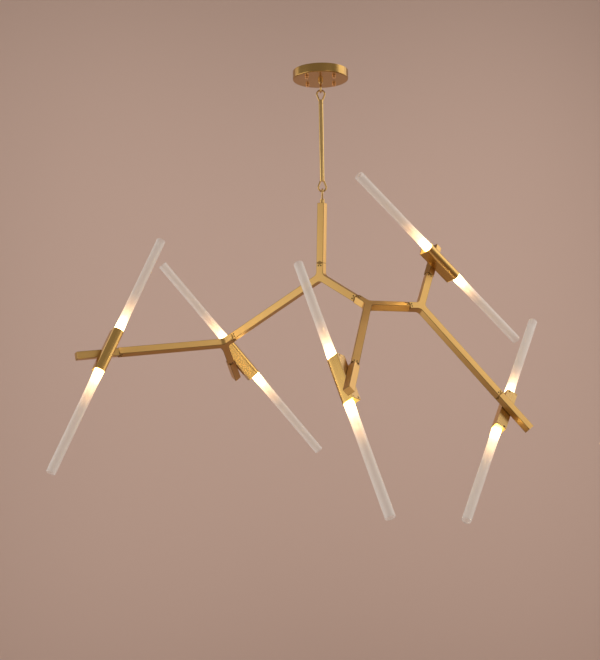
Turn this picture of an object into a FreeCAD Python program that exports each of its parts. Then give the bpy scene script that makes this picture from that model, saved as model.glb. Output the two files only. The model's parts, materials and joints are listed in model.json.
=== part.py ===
import FreeCAD, Part
import math
import os
import re

import Sketcher
from FreeCAD import Placement, Rotation, Vector

# A branch chandelier: a ceiling canopy, a down rod hung from it ring in ring, and below a second
# pair of rings a tree of four identical square-tube forks. Each of the five free arms ends in a
# finger that carries a swivelling lamp: a D-shaped holder with a long open glass tube at each end.
#
# Frame: millimetres, +Z up, origin at the ceiling face of the canopy on the stem's axis.
# +X is to the right and +Y is away from somebody who faces the chandelier.

doc = FreeCAD.newDocument("branch_chandelier")
sheet = doc.addObject("Spreadsheet::Sheet", "sizes")

SIZES = (
    # canopy and the fittings inside it
    ("canopy_width", 152),
    ("canopy_depth", 24),
    ("canopy_wall", 1.5),
    ("canopy_edge_round", 3),
    ("canopy_lip", 3),
    ("plate_width", 118),
    ("plate_thick", 2.5),
    ("slot_spacing", 76),
    ("slot_width", 5.5),
    ("slot_run", 16),
    ("supply_hole", 12),
    ("supply_offset", 30),
    ("hub_width", 20),
    ("hub_room", 2),
    ("stud_width", 5),
    ("stud_circle", 104),
    ("stud_turn", 43),
    ("stud_stand_out", 5.5),
    ("cap_flange_width", 12),
    ("cap_flange_depth", 2),
    ("cap_width", 8.6),
    ("cap_depth", 8),
    ("cap_round", 1.5),
    ("thread_gap", 0.1),
    ("block_long", 36),
    ("block_wide", 19),
    ("block_tall", 14),
    ("block_offset", 26),
    ("block_screw", 4),
    ("block_screw_long", 3),
    ("block_screw_gap", 0.2),
    ("block_screw_pitch", 8.5),
    ("earth_offset", 20),
    ("earth_screw_width", 4),
    ("earth_screw_long", 8),
    ("earth_head_width", 8),
    ("earth_head_depth", 2.4),
    ("earth_washer_width", 10.4),
    ("earth_washer_depth", 1),
    # rings that hang in one another
    ("boss_width", 14),
    ("boss_depth", 12),
    ("boss_neck_depth", 4.8),
    ("boss_neck_shoulder", 1),
    ("boss_stem", 10),
    ("boss_stem_room", 1),
    ("locknut_width", 17),
    ("locknut_depth", 5),
    ("ring_radius", 10.5),
    ("ring_wire", 5),
    ("ring_gap", 0.3),
    ("ring_sink", 1),
    ("eye_reach", 16.5),
    ("eye_foot", 4),
    ("eye_foot_sink", 3),
    ("collar_depth", 11),
    ("collar_narrow", 12.4),
    ("collar_bead", 1.2),
    ("collar_bead_rise", 0.5),
    ("plug_depth", 14),
    # down rod
    ("rod_width", 13),
    ("rod_wall", 1.5),
    ("rod_long", 204),
    # square tube branches
    ("arm_width", 20),
    ("arm_wall", 2),
    ("arm_fit", 0.1),
    ("drop_long", 164),
    ("fork_stub", 37.5),
    ("fork_short", 124),
    ("fork_long", 318),
    ("crotch_round", 14),
    ("spigot_long", 40),
    ("spigot_bore", 9),
    ("grub_width", 3.5),
    ("grub_from_end", 7.5),
    ("grub_apart", 7.6),
    ("grub_sink", 0.3),
    ("grub_socket", 1.9),
    ("grub_socket_depth", 0.9),
    ("finger_long", 117),
    ("finger_pivot", 38),
    ("finger_end_wall", 2.5),
    # lamps
    ("swivel_washer", 0.9),
    ("swivel_gap", 0.2),
    ("swivel_bolt", 8),
    ("swivel_fit", 0.05),
    ("swivel_washer_width", 17),
    ("swivel_nut_room", 1.5),
    ("swivel_nut_depth", 5),
    ("swivel_head_width", 13),
    ("swivel_head_depth", 4),
    ("holder_long", 126),
    ("holder_wall", 2.35),
    ("back_plate_thick", 2),
    ("glass_width", 25),
    ("glass_wall", 1.8),
    ("glass_showing", 300),
    ("glass_seat", 40),
    ("glass_fit", 0.15),
    ("web_bore", 12),
    ("feed_bore", 8),
    ("feed_back", 6.9),
    ("wire_pocket_side", 5),
    ("wire_pocket_deep", 8),
    ("wire_pocket_end", 9),
    ("socket_room", 1.2),
    ("socket_depth", 14),
    ("pin_pitch", 5.5),
    ("pin_width", 1.4),
    ("pin_long", 6),
    ("pin_root", 1),
    ("pin_hole_width", 2),
    ("pin_hole_depth", 8),
    ("bulb_width", 15),
    ("bulb_base_depth", 9),
    ("bulb_base_width", 13),
    ("bulb_long", 62),
    ("plate_screw_head", 6.2),
    ("plate_screw_head_depth", 1),
    ("plate_screw_socket", 2.4),
    ("plate_screw_socket_depth", 0.8),
    ("plate_screw_stem", 3),
    ("plate_screw_edge", 7),
    ("plate_screw_end", 4.5),
    ("plate_screw_long", 7),
    ("plate_screw_room", 0.5),
    ("vent_width", 3),
    ("vent_edge", 3),
    ("vent_end", 4),
    # how each branch is turned before its grub screws lock it, in degrees
    ("top_fork_turn", 28.8),
    ("right_fork_twist", 69),
    ("far_fork_twist", -24),
    ("left_fork_twist", 79.5),
    ("finger_one_twist", -17.5),
    ("finger_two_twist", 156.5),
    ("finger_three_twist", 56.5),
    ("finger_four_twist", -65),
    ("finger_five_twist", 90.5),
    # how each lamp stands on its swivel, in degrees
    ("lamp_one_turn", 55.7),
    ("lamp_two_turn", -61),
    ("lamp_three_turn", -37.5),
    ("lamp_four_turn", -88),
    ("lamp_five_turn", 66),
)

# Sizes that follow from those above, so that what fits stays fitted.
FITTED = (
    ("hub_depth", "canopy_depth - canopy_wall - locknut_depth - hub_room - plate_thick"),
    ("swivel_nut_width", "arm_width - 2 * (arm_wall + swivel_nut_room)"),
    ("holder_wide", "glass_width + 2 * (glass_fit + holder_wall)"),
    ("tube_axis_offset", "back_plate_thick + wire_pocket_deep + holder_wide / 2"),
    ("wire_pocket_wide", "holder_wide - 2 * wire_pocket_side"),
    ("wire_pocket_long", "holder_long - 2 * wire_pocket_end"),
    ("socket_width", "glass_width - 2 * (glass_wall + socket_room)"),
    ("plate_screw_side", "holder_wide / 2 - plate_screw_edge"),
    ("vent_side", "holder_wide / 2 - vent_edge"),
)
NAMES = [name for name, rule in SIZES + FITTED]
for row, (name, number) in enumerate(SIZES, 1):
    sheet.set(f"A{row}", name)
    sheet.set(f"B{row}", str(number))
    sheet.setAlias(f"B{row}", name)
for row, (name, rule) in enumerate(FITTED, len(SIZES) + 1):
    sheet.set(f"A{row}", name)
    sheet.set(f"B{row}", "=" + rule)
    sheet.setAlias(f"B{row}", name)
doc.recompute()

WORD = re.compile(r"\b(" + "|".join(sorted(NAMES, key=len, reverse=True)) + r")\b")
ARM_ANGLE = 120
AXES = {"X": Rotation(Vector(0, 1, 0), 90), "Y": Rotation(Vector(1, 0, 0), -90), "Z": Rotation()}
nodes = []


# ---- small helpers ---------------------------------------------------------------------------


def on_sheet(rule):
    """A rule such as "arm_width / 2" as an expression on the sheet of sizes."""
    return WORD.sub(r"sizes.\1", rule)


def size(rule):
    """The number that a rule gives."""
    made = sheet.evalExpression(on_sheet(rule))
    return float(getattr(made, "Value", made))


def bind(thing, **rules):
    """Tie properties to rules. An underscore stands for the dot of a nested property."""
    for prop, rule in rules.items():
        thing.setExpression(prop.replace("_", "."), on_sheet(rule))


def put(thing, x="0", y="0", z="0"):
    bind(thing, Placement_Base_x=x, Placement_Base_y=y, Placement_Base_z=z)
    return thing


def box(name, wide, deep, tall, x="0", y="0", z="0"):
    """A box centred on x and y that stands on z."""
    thing = doc.addObject("Part::Box", name)
    bind(thing, Length=wide, Width=deep, Height=tall)
    return put(thing, f"{x} - ({wide}) / 2", f"{y} - ({deep}) / 2", z)


def rod(name, radius, tall, x="0", y="0", z="0", along="Z"):
    """A cylinder that starts at x, y, z and runs along one axis."""
    thing = doc.addObject("Part::Cylinder", name)
    bind(thing, Radius=radius, Height=tall)
    thing.Placement = Placement(Vector(), AXES[along])
    return put(thing, x, y, z)


def taper(name, foot, head, tall, z="0"):
    thing = doc.addObject("Part::Cone", name)
    bind(thing, Radius1=foot, Radius2=head, Height=tall)
    return put(thing, z=z)


def hexagon(name, across, tall, x="0", y="0", z="0", along="Z"):
    thing = doc.addObject("Part::Prism", name)
    thing.Polygon = 6
    bind(thing, Circumradius=f"({across}) / 2 / cos(30)", Height=tall)
    thing.Placement = Placement(Vector(), AXES[along])
    return put(thing, x, y, z)


def fuse(name, *things):
    made = doc.addObject("Part::MultiFuse", name)
    made.Shapes = list(things)
    return made


def cut(name, base, *tools):
    made = doc.addObject("Part::Cut", name)
    made.Base = base
    made.Tool = tools[0] if len(tools) == 1 else fuse(name + "_tools", *tools)
    return made


def group(name, *things):
    made = doc.addObject("Part::Compound", name)
    made.Links = list(things)
    return made


def fixed_shape(name, shape):
    """A shape that the sketches and primitives don't offer, such as a pattern along the tree."""
    made = doc.addObject("Part::Feature", name)
    made.Shape = shape
    return made


def add_node(name, thing, place=None):
    """Make a finished piece a node of its own, at its place in the chandelier."""
    if place is not None:
        thing.Placement = place
    thing.Label = name
    nodes.append(thing)
    return thing


def shift(x=0.0, y=0.0, z=0.0):
    return Placement(Vector(x, y, z), Rotation())


def turn(axis, degrees):
    return Placement(Vector(), Rotation(Vector(*axis), degrees))


def outline(body, role, corners):
    """A closed sketch on one of the body's planes, each corner held by two rules."""
    sketch = body.newObject("Sketcher::SketchObject", body.Name + "_outline")
    plane = [one for one in body.Origin.OriginFeatures if one.Role == role][0]
    sketch.AttachmentSupport = (plane, [""])
    sketch.MapMode = "FlatFace"
    points = [Vector(size(x), size(y), 0) for x, y in corners]
    count = len(points)
    for k in range(count):
        sketch.addGeometry(Part.LineSegment(points[k], points[(k + 1) % count]), False)
    for k in range(count):
        sketch.addConstraint(Sketcher.Constraint("Coincident", k, 2, (k + 1) % count, 1))
    for k, (x, y) in enumerate(corners):
        hold(sketch, "DistanceX", k, x, -2)
        hold(sketch, "DistanceY", k, y, -1)
    return sketch


def hold(sketch, kind, k, rule, axis):
    """Hold the start of side k at a distance from the origin, or on the axis itself."""
    number = size(rule)
    if abs(number) < 1e-9:
        sketch.addConstraint(Sketcher.Constraint("PointOnObject", k, 1, axis))
        return
    index = sketch.addConstraint(Sketcher.Constraint(kind, -1, 1, k, 1, number))
    label = f"{kind.lower()}_{k}"
    sketch.renameConstraint(index, label)
    sketch.setExpression("Constraints." + label, on_sheet(rule))


def revolved(name, corners):
    """A turned piece: the outline of radius and height spun about Z."""
    body = doc.addObject("PartDesign::Body", name)
    sketch = outline(body, "XZ_Plane", corners)
    spin = body.newObject("PartDesign::Revolution", name + "_turning")
    spin.Profile = sketch
    spin.ReferenceAxis = (sketch, ["V_Axis"])
    spin.Angle = 360
    doc.recompute()
    return body


def round_edges(body, radius, wanted):
    """A PartDesign fillet on the edges that the test picks."""
    base = body.Tip
    picked = [f"Edge{k}" for k, edge in enumerate(base.Shape.Edges, 1) if wanted(edge)]
    fillet = body.newObject("PartDesign::Fillet", body.Name + "_rounding")
    fillet.Base = (base, picked)
    bind(fillet, Radius=radius)
    doc.recompute()
    return body


def is_circle_at(edge, radius, height):
    curve = edge.Curve
    round_one = isinstance(curve, Part.Circle)
    return round_one and abs(curve.Radius - radius) < 1e-3 and abs(curve.Center.z - height) < 1e-3


# ---- canopy at the ceiling -------------------------------------------------------------------


def stud_places():
    """The four studs stand on one circle."""
    angles = [math.radians(size("stud_turn") + 90 * k) for k in range(4)]
    reach = size("stud_circle") / 2
    return [Vector(reach * math.cos(a), reach * math.sin(a), 0) for a in angles]


def make_canopy():
    """A spun cup with a rolled lip at the ceiling, drilled for the studs and the ring's stem."""
    corners = (
        ("0", "-canopy_depth"),
        ("canopy_width / 2", "-canopy_depth"),
        ("canopy_width / 2", "0"),
        ("canopy_width / 2 - canopy_lip", "0"),
        ("canopy_width / 2 - canopy_lip", "-canopy_wall"),
        ("canopy_width / 2 - canopy_wall", "-canopy_wall"),
        ("canopy_width / 2 - canopy_wall", "-canopy_depth + canopy_wall"),
        ("0", "-canopy_depth + canopy_wall"),
    )
    cup = revolved("canopy_spinning", corners)
    radius = size("canopy_width / 2")
    depth = size("canopy_depth")
    round_edges(cup, "canopy_edge_round", lambda edge: is_circle_at(edge, radius, -depth))
    tall = "2 * canopy_wall + 2"
    low = "-canopy_depth - 1"
    drills = [rod("canopy_drill_stem", "boss_stem / 2 + thread_gap", tall, z=low)]
    for k, spot in enumerate(stud_places()):
        drill = rod(f"canopy_drill_{k}", "stud_width / 2 + thread_gap", tall, z=low)
        drill.Placement.Base = Vector(spot.x, spot.y, drill.Placement.Base.z)
        drill.setExpression("Placement.Base.x", stud_rule(k, "cos"))
        drill.setExpression("Placement.Base.y", stud_rule(k, "sin"))
        drills.append(drill)
    add_node("canopy_cup", cut("canopy_drilled", cup, *drills))


def stud_rule(k, wave):
    """The expression for one coordinate of stud k on its circle."""
    return on_sheet(f"stud_circle / 2 * {wave}(stud_turn + {90 * k})")


def make_mount_plate():
    """The steel plate screwed to the ceiling: two slots, a supply hole and a threaded hub."""
    disc = rod("plate_disc", "plate_width / 2", "plate_thick", z="-plate_thick")
    hub = rod("plate_hub", "hub_width / 2", "hub_depth", z="-plate_thick - hub_depth")
    thread = rod("plate_thread", "boss_stem / 2 + thread_gap", "hub_depth",
                 z="-plate_thick - hub_depth")
    tools = [thread]
    tall = "plate_thick + 2"
    low = "-plate_thick - 1"
    for side, sign in (("left", "-"), ("right", "")):
        middle = f"{sign}slot_spacing / 2"
        run = "slot_run - slot_width"
        tools.append(box(f"slot_{side}", run, "slot_width", tall, x=middle, z=low))
        for end in ("-", "+"):
            name = f"slot_{side}_end_{'a' if end == '-' else 'b'}"
            x = f"{middle} {end} (slot_run - slot_width) / 2"
            tools.append(rod(name, "slot_width / 2", tall, x=x, z=low))
    tools.append(rod("supply_drill", "supply_hole / 2", tall, y="supply_offset", z=low))
    add_node("mount_plate", cut("plate_cut", fuse("plate_blank", disc, hub), *tools))


def make_studs_and_caps():
    """Four studs welded to the plate carry the canopy, and stepped cap nuts close it."""
    studs = []
    caps = []
    profile = (
        ("0", "-cap_depth"),
        ("cap_width / 2", "-cap_depth"),
        ("cap_width / 2", "-cap_flange_depth"),
        ("cap_flange_width / 2", "-cap_flange_depth"),
        ("cap_flange_width / 2", "0"),
        ("stud_width / 2 + thread_gap", "0"),
        ("stud_width / 2 + thread_gap", "-stud_stand_out - thread_gap"),
        ("0", "-stud_stand_out - thread_gap"),
    )
    for k in range(4):
        length = "canopy_depth + stud_stand_out - plate_thick"
        stud = rod(f"stud_{k}", "stud_width / 2", length, z="-canopy_depth - stud_stand_out")
        cap = revolved(f"cap_{k}", profile)
        radius = size("cap_width / 2")
        depth = size("cap_depth")
        round_edges(cap, "cap_round", lambda edge: is_circle_at(edge, radius, -depth))
        bind(cap, Placement_Base_z="-canopy_depth")
        for thing in (stud, cap):
            thing.setExpression("Placement.Base.x", stud_rule(k, "cos"))
            thing.setExpression("Placement.Base.y", stud_rule(k, "sin"))
        studs.append(stud)
        caps.append(cap)
    add_node("canopy_studs", group("stud_set", *studs))
    add_node("canopy_cap_nuts", group("cap_set", *caps))


def make_suspension_ring():
    """The fixed ring: a stem through the canopy, a boss under it and a closed ring of wire."""
    length = "canopy_depth - plate_thick - boss_stem_room"
    stem = rod("ring_stem", "boss_stem / 2", length, z="-canopy_depth")
    barrel = "boss_depth - boss_neck_depth"
    boss = rod("ring_boss", "boss_width / 2", barrel, z=f"-canopy_depth - ({barrel})")
    neck = taper("ring_neck", "ring_wire / 2 + boss_neck_shoulder", "boss_width / 2", "boss_neck_depth",
                 z="-canopy_depth - boss_depth")
    ring = doc.addObject("Part::Torus", "ring_wire_loop")
    bind(ring, Radius1="ring_radius", Radius2="ring_wire / 2")
    ring.Placement = Placement(Vector(), AXES["X"])
    put(ring, z="-canopy_depth - boss_depth + ring_sink - ring_radius - ring_wire / 2")
    add_node("suspension_ring", fuse("suspension_ring_solid", stem, boss, neck, ring))
    nut = hexagon("locknut_blank", "locknut_width", "locknut_depth", z="-canopy_depth + canopy_wall")
    hole = rod("locknut_hole", "boss_stem / 2 + thread_gap", "locknut_depth + 2",
               z="-canopy_depth + canopy_wall - 1")
    add_node("ring_locknut", cut("locknut_cut", nut, hole))


def make_terminal_block():
    """A two-way connector block under the plate, with its clamp screws sunk in wells."""
    top = "-plate_thick - block_tall"
    blank = box("block_blank", "block_long", "block_wide", "block_tall", y="-block_offset", z=top)
    tools = []
    screws = []
    for column, share in enumerate((-1.5, -0.5, 0.5, 1.5)):
        for row, side in enumerate(("-", "+")):
            tag = f"{column}_{row}"
            across = f"{share} * block_screw_pitch"
            along = f"-block_offset {side} block_wide / 4"
            well = rod(f"block_well_{tag}", "block_screw / 2 + block_screw_gap", "block_tall / 2",
                       x=across, y=along, z=top)
            screw = rod(f"block_screw_{tag}", "block_screw / 2", "block_screw_long", x=across, y=along,
                        z=f"{top} + block_tall / 2 - block_screw_long")
            tools.append(well)
            screws.append(screw)
    add_node("terminal_block", cut("block_cut", blank, *tools))
    add_node("terminal_screws", group("block_screw_set", *screws))


def make_earth_screw():
    """The earth screw in the plate's rim."""
    stem = rod("earth_stem", "earth_screw_width / 2", "earth_screw_long", x="-earth_offset",
               y="supply_offset", z="-plate_thick - earth_screw_long")
    head = rod("earth_head", "earth_head_width / 2", "earth_head_depth", x="-earth_offset",
               y="supply_offset", z="-plate_thick - earth_screw_long - earth_head_depth")
    washer = rod("earth_washer", "earth_washer_width / 2", "earth_washer_depth", x="-earth_offset",
                 y="supply_offset", z="-plate_thick - earth_screw_long")
    add_node("earth_screw", fuse("earth_screw_solid", stem, head, washer))


# ---- eyes and the down rod -------------------------------------------------------------------


def eye_path():
    """The bent wire of an eye: an arc and the two straight legs that touch it, in the XZ plane."""
    radius = size("ring_radius")
    middle = Vector(0, 0, size("eye_reach"))
    foot = Vector(size("eye_foot"), 0, -size("eye_foot_sink"))
    to_foot = foot - middle
    lean = math.atan2(to_foot.z, to_foot.x) + math.acos(radius / to_foot.Length)
    touch = middle + Vector(radius * math.cos(lean), 0, radius * math.sin(lean))
    mirror = Vector(-touch.x, 0, touch.z)
    over = middle + Vector(0, 0, radius)
    legs = (
        Part.LineSegment(foot, touch).toShape(),
        Part.Arc(touch, over, mirror).toShape(),
        Part.LineSegment(mirror, Vector(-foot.x, 0, foot.z)).toShape(),
    )
    return fixed_shape("eye_path", Part.Wire(legs))


def make_eye(name, plug):
    """A pear-shaped eye of bent wire in a tapered collar. The plug below it fits its tube."""
    path = eye_path()
    section = doc.addObject("Part::Circle", name + "_section")
    bind(section, Radius="ring_wire / 2")
    start = path.Shape.Edges[0]
    along = start.tangentAt(start.FirstParameter)
    section.Placement = Placement(start.Vertexes[0].Point, Rotation(Vector(0, 0, 1), along))
    bent = doc.addObject("Part::Sweep", name + "_wire")
    bent.Sections = [section]
    bent.Spine = (path, ["Edge1", "Edge2", "Edge3"])
    bent.Solid = True
    collar = taper(name + "_collar", "rod_width / 2", "collar_narrow / 2", "collar_depth",
                   z="-collar_depth")
    bead = rod(name + "_bead", "rod_width / 2 + collar_bead_rise", "collar_bead", z="-collar_depth")
    return fuse(name + "_solid", bent, collar, bead, plug)


def round_plug(name):
    """The part of an eye that sits in the round rod's bore."""
    radius = "rod_width / 2 - rod_wall - arm_fit"
    return rod(name, radius, "plug_depth", z="-collar_depth - plug_depth")


def square_plug(name):
    """The part of an eye that sits in the square drop tube's bore, turned as that tube is."""
    side = "arm_width - 2 * arm_wall - 2 * arm_fit"
    bar = box(name + "_bar", side, side, "plug_depth", z="-collar_depth - plug_depth")
    plug = group(name, bar)
    plug.Placement = turn((0, 0, 1), -size("top_fork_turn"))
    return plug


def make_rod(heights):
    """The down rod with an eye at each end. Both eyes lie across the fixed ring."""
    upper = make_eye("upper_eye", round_plug("upper_plug"))
    add_node("rod_upper_eye", upper, shift(z=heights["upper_collar"]))
    lower = make_eye("lower_eye", round_plug("lower_plug"))
    add_node("rod_lower_eye", lower, shift(z=heights["lower_collar"]) * turn((1, 0, 0), 180))
    outside = rod("rod_outside", "rod_width / 2", "rod_long")
    bore = rod("rod_bore", "rod_width / 2 - rod_wall", "rod_long + 2", z="-1")
    add_node("down_rod", cut("rod_tube", outside, bore), shift(z=heights["rod_foot"]))


def stem_heights():
    """Heights of the hanging pieces, worked down from the ceiling."""
    heights = {}
    ring = -size("canopy_depth + boss_depth - ring_sink + ring_radius + ring_wire / 2")
    nest = size("2 * ring_radius - ring_wire - ring_gap")
    heights["swing_pivot"] = ring - size("ring_radius")
    heights["upper_collar"] = ring - nest - size("eye_reach")
    heights["rod_foot"] = heights["upper_collar"] - size("collar_depth + rod_long")
    heights["lower_collar"] = heights["rod_foot"] - size("collar_depth")
    lower_eye = heights["lower_collar"] - size("eye_reach")
    heights["tilt_pivot"] = lower_eye - size("ring_radius")
    heights["drop_collar"] = lower_eye - nest - size("eye_reach")
    heights["drop_top"] = heights["drop_collar"] - size("collar_depth")
    return heights


# ---- square tube branches --------------------------------------------------------------------


def arm_box(name, inset, length, start="0"):
    """A square bar along +Z, its sides drawn in by an inset."""
    side = f"arm_width - 2 * ({inset})"
    return box(name, side, side, length, z=start)


def drop_tube(place):
    """The square tube that hangs from the tilt ring."""
    outside = arm_box("drop_outside", "0", "drop_long")
    bore = arm_box("drop_bore", "arm_wall", "drop_long + 2", "-1")
    add_node("drop_tube", cut("drop_cut", outside, bore), place)


ARMS = (("stub", 0, "fork_stub"), ("short", ARM_ANGLE, "fork_short"), ("long", -ARM_ANGLE, "fork_long"))


def make_fork(name, place):
    """Three square tubes welded at 120 degrees, with rounded crotches and drilled ends."""
    bars = []
    bores = []
    for arm, angle, length in ARMS:
        spin = Rotation(Vector(0, 1, 0), angle)
        bar = arm_box(f"{name}_{arm}_bar", "0", length)
        bore = arm_box(f"{name}_{arm}_bore", "arm_wall", f"{length} + 1")
        for thing in (bar, bore):
            turned = doc.addObject("Part::Compound", thing.Name + "_turned")
            turned.Links = [thing]
            turned.Placement = Placement(Vector(), spin)
            (bars if thing is bar else bores).append(turned)
    blank = fuse(name + "_blank", *bars)
    blank.Refine = True
    doc.recompute()
    reach = size("arm_width") / 2 / math.sin(math.radians(ARM_ANGLE / 2))
    crotches = [k for k, edge in enumerate(blank.Shape.Edges, 1) if is_crotch(edge, reach)]
    rounded = doc.addObject("Part::Fillet", name + "_rounded")
    rounded.Base = blank
    radius = size("crotch_round")
    rounded.Edges = [(k, radius, radius) for k in crotches]
    drills = fixed_shape(name + "_drills", Part.makeCompound(grub_drills()))
    solid = cut(name + "_solid", rounded, *bores, drills)
    add_node(name, solid, place)


def is_crotch(edge, reach):
    """The three inner corners where two arms meet, which run across the fork."""
    middle = edge.CenterOfMass
    across = abs(edge.Vertexes[0].Point.x - edge.Vertexes[-1].Point.x) < 1e-6
    return across and abs(math.hypot(middle.x, middle.z) - reach) < 1e-3 and abs(middle.y) < 1e-6


def arm_end(angle, length):
    """The frame at an arm's open end, with Z pointing out of it."""
    return turn((0, 1, 0), angle) * shift(z=length)


def grub_spots():
    """The two screws beside one seam, in the seam's own frame, on the front face of the tube."""
    apart = size("grub_apart") / 2
    back = size("grub_from_end")
    face = size("arm_width") / 2
    return [Placement(Vector(x, -face, -back), Rotation(Vector(1, 0, 0), 90)) for x in (-apart, apart)]


def grub_drills():
    """Every screw hole of a fork: two at each end, in the front face."""
    drills = []
    for arm, angle, length in ARMS:
        for spot in grub_spots():
            foot = Vector(0, 0, -size("arm_wall") - 1)
            drill = Part.makeCylinder(size("grub_width / 2 + thread_gap"), size("arm_wall + 2"), foot)
            drill.Placement = arm_end(angle, size(length)) * spot
            drills.append(drill)
    return drills


def grub_screw():
    """One headless socket screw, its outer end just below the tube's face."""
    length = size("arm_wall + arm_fit - grub_sink")
    screw = Part.makeCylinder(size("grub_width") / 2, length, Vector(0, 0, -length - size("grub_sink")))
    across = size("grub_socket")
    depth = size("grub_socket_depth")
    corners = [Vector(across / 2 / math.cos(math.pi / 6) * math.cos(k * math.pi / 3),
                      across / 2 / math.cos(math.pi / 6) * math.sin(k * math.pi / 3),
                      -size("grub_sink") - depth) for k in range(7)]
    socket = Part.Face(Part.makePolygon(corners)).extrude(Vector(0, 0, depth + 1))
    return screw.cut(socket)


def child_fork(parent, angle, length, twist):
    """A fork pushed onto an arm of its parent and turned about that arm."""
    reach = size(length) + size("fork_stub")
    return parent * arm_end(angle, reach) * turn((0, 1, 0), 180) * turn((0, 0, 1), size(twist))


def make_finger(name, place):
    """A closed square tube with the swivel's hole in the wall that faces the lamp."""
    outside = arm_box(name + "_outside", "0", "finger_long")
    bore = arm_box(name + "_bore", "arm_wall", "finger_long - finger_end_wall + 1", "-1")
    pivot = rod(name + "_pivot", "swivel_bolt / 2 + swivel_fit", "arm_wall + 2",
                x="arm_width / 2 - arm_wall - 1", z="finger_pivot", along="X")
    add_node(name, cut(name + "_solid", outside, bore, pivot), place)


def make_spigot():
    """The joiner inside a seam, bored for the wires. Its inner half is square, so the arm holds it
    still, and its outer half is round, so that the next piece can be turned before it is locked."""
    side = size("arm_width - 2 * arm_wall - 2 * arm_fit")
    half = size("spigot_long") / 2
    square = Part.makeBox(side, side, half, Vector(-side / 2, -side / 2, -half))
    pillar = Part.makeCylinder(side / 2, half)
    bore = Part.makeCylinder(size("spigot_bore") / 2, 2 * half + 2, Vector(0, 0, -half - 1))
    return square.fuse(pillar).cut(bore)


# ---- lamps -----------------------------------------------------------------------------------
# A lamp's own frame: origin where the swivel's axis meets the back plate's outer face, +X out of
# the back plate towards the glass, Z along the glass tubes.


def d_outline(body):
    """The holder's section: a flat back, two flat sides and a half round front."""
    sketch = body.newObject("Sketcher::SketchObject", body.Name + "_section")
    plane = [one for one in body.Origin.OriginFeatures if one.Role == "XY_Plane"][0]
    sketch.AttachmentSupport = (plane, [""])
    sketch.MapMode = "FlatFace"
    back = size("back_plate_thick")
    middle = size("tube_axis_offset")
    half = size("holder_wide") / 2
    lower = Part.LineSegment(Vector(back, -half, 0), Vector(middle, -half, 0))
    front = Part.Arc(Vector(middle, -half, 0), Vector(middle + half, 0, 0), Vector(middle, half, 0))
    upper = Part.LineSegment(Vector(middle, half, 0), Vector(back, half, 0))
    rear = Part.LineSegment(Vector(back, half, 0), Vector(back, -half, 0))
    for side in (lower, front, upper, rear):
        sketch.addGeometry(side, False)
    for first, second in ((0, 1), (1, 2)):
        sketch.addConstraint(Sketcher.Constraint("Tangent", first, 2, second, 1))
    sketch.addConstraint(Sketcher.Constraint("Coincident", 2, 2, 3, 1))
    sketch.addConstraint(Sketcher.Constraint("Coincident", 3, 2, 0, 1))
    sketch.addConstraint(Sketcher.Constraint("Vertical", 3))
    sketch.addConstraint(Sketcher.Constraint("PointOnObject", 1, 3, -1))
    held = (
        ("front_radius", Sketcher.Constraint("Radius", 1, half), "holder_wide / 2"),
        ("axis", Sketcher.Constraint("DistanceX", -1, 1, 1, 3, middle), "tube_axis_offset"),
        ("back", Sketcher.Constraint("DistanceX", -1, 1, 0, 1, back), "back_plate_thick"),
    )
    for name, constraint, rule in held:
        index = sketch.addConstraint(constraint)
        sketch.renameConstraint(index, name)
        sketch.setExpression("Constraints." + name, on_sheet(rule))
    sketch.addConstraint(Sketcher.Constraint("Horizontal", 0))
    return sketch


def take(body, kind, name, rules, x="0", y="0", z="0", along="Z"):
    """Cut a box or cylinder out of a PartDesign body."""
    tool = body.newObject("PartDesign::Subtractive" + kind, name)
    bind(tool, **rules)
    tool.Placement = Placement(Vector(), AXES[along])
    put(tool, x, y, z)
    return tool


def make_holder(tag, place):
    """The brass housing: a D-shaped bar bored from both ends for the glass, with a wire pocket."""
    name = f"lamp_{tag}_holder"
    body = doc.addObject("PartDesign::Body", name)
    pad = body.newObject("PartDesign::Pad", name + "_bar")
    pad.Profile = d_outline(body)
    pad.SideType = "Symmetric"
    bind(pad, Length="holder_long")
    seat = {"Radius": "glass_width / 2 + glass_fit", "Height": "glass_seat + 1"}
    take(body, "Cylinder", name + "_upper_seat", seat, x="tube_axis_offset",
         z="holder_long / 2 - glass_seat")
    take(body, "Cylinder", name + "_lower_seat", seat, x="tube_axis_offset", z="-holder_long / 2 - 1")
    through = {"Radius": "web_bore / 2", "Height": "holder_long - 2 * glass_seat + 2"}
    take(body, "Cylinder", name + "_web_bore", through, x="tube_axis_offset",
         z="-holder_long / 2 + glass_seat - 1")
    pocket = {"Length": "wire_pocket_deep + 1", "Width": "wire_pocket_wide", "Height": "wire_pocket_long"}
    take(body, "Box", name + "_pocket", pocket, x="back_plate_thick - 1", y="-wire_pocket_wide / 2",
         z="-wire_pocket_long / 2")
    feed = {"Radius": "feed_bore / 2", "Height": "tube_axis_offset - back_plate_thick"}
    for end, sign in (("upper", ""), ("lower", "-")):
        z = f"{sign}(holder_long / 2 - glass_seat - feed_back)"
        take(body, "Cylinder", f"{name}_{end}_feed", feed, x="back_plate_thick", z=z, along="X")
    for k, (y, z) in enumerate(screw_spots()):
        hole = {
            "Radius": "plate_screw_stem / 2 + thread_gap",
            "Height": "plate_screw_long + plate_screw_room",
        }
        take(body, "Cylinder", f"{name}_screw_{k}", hole, x="back_plate_thick - 1", y=y, z=z, along="X")
    add_node(name, body, place)


def screw_spots():
    """One screw at each end of the back plate, on opposite sides of its middle."""
    z = "(holder_long / 2 - plate_screw_end)"
    return (("plate_screw_side", z), ("-plate_screw_side", "-" + z))


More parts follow.
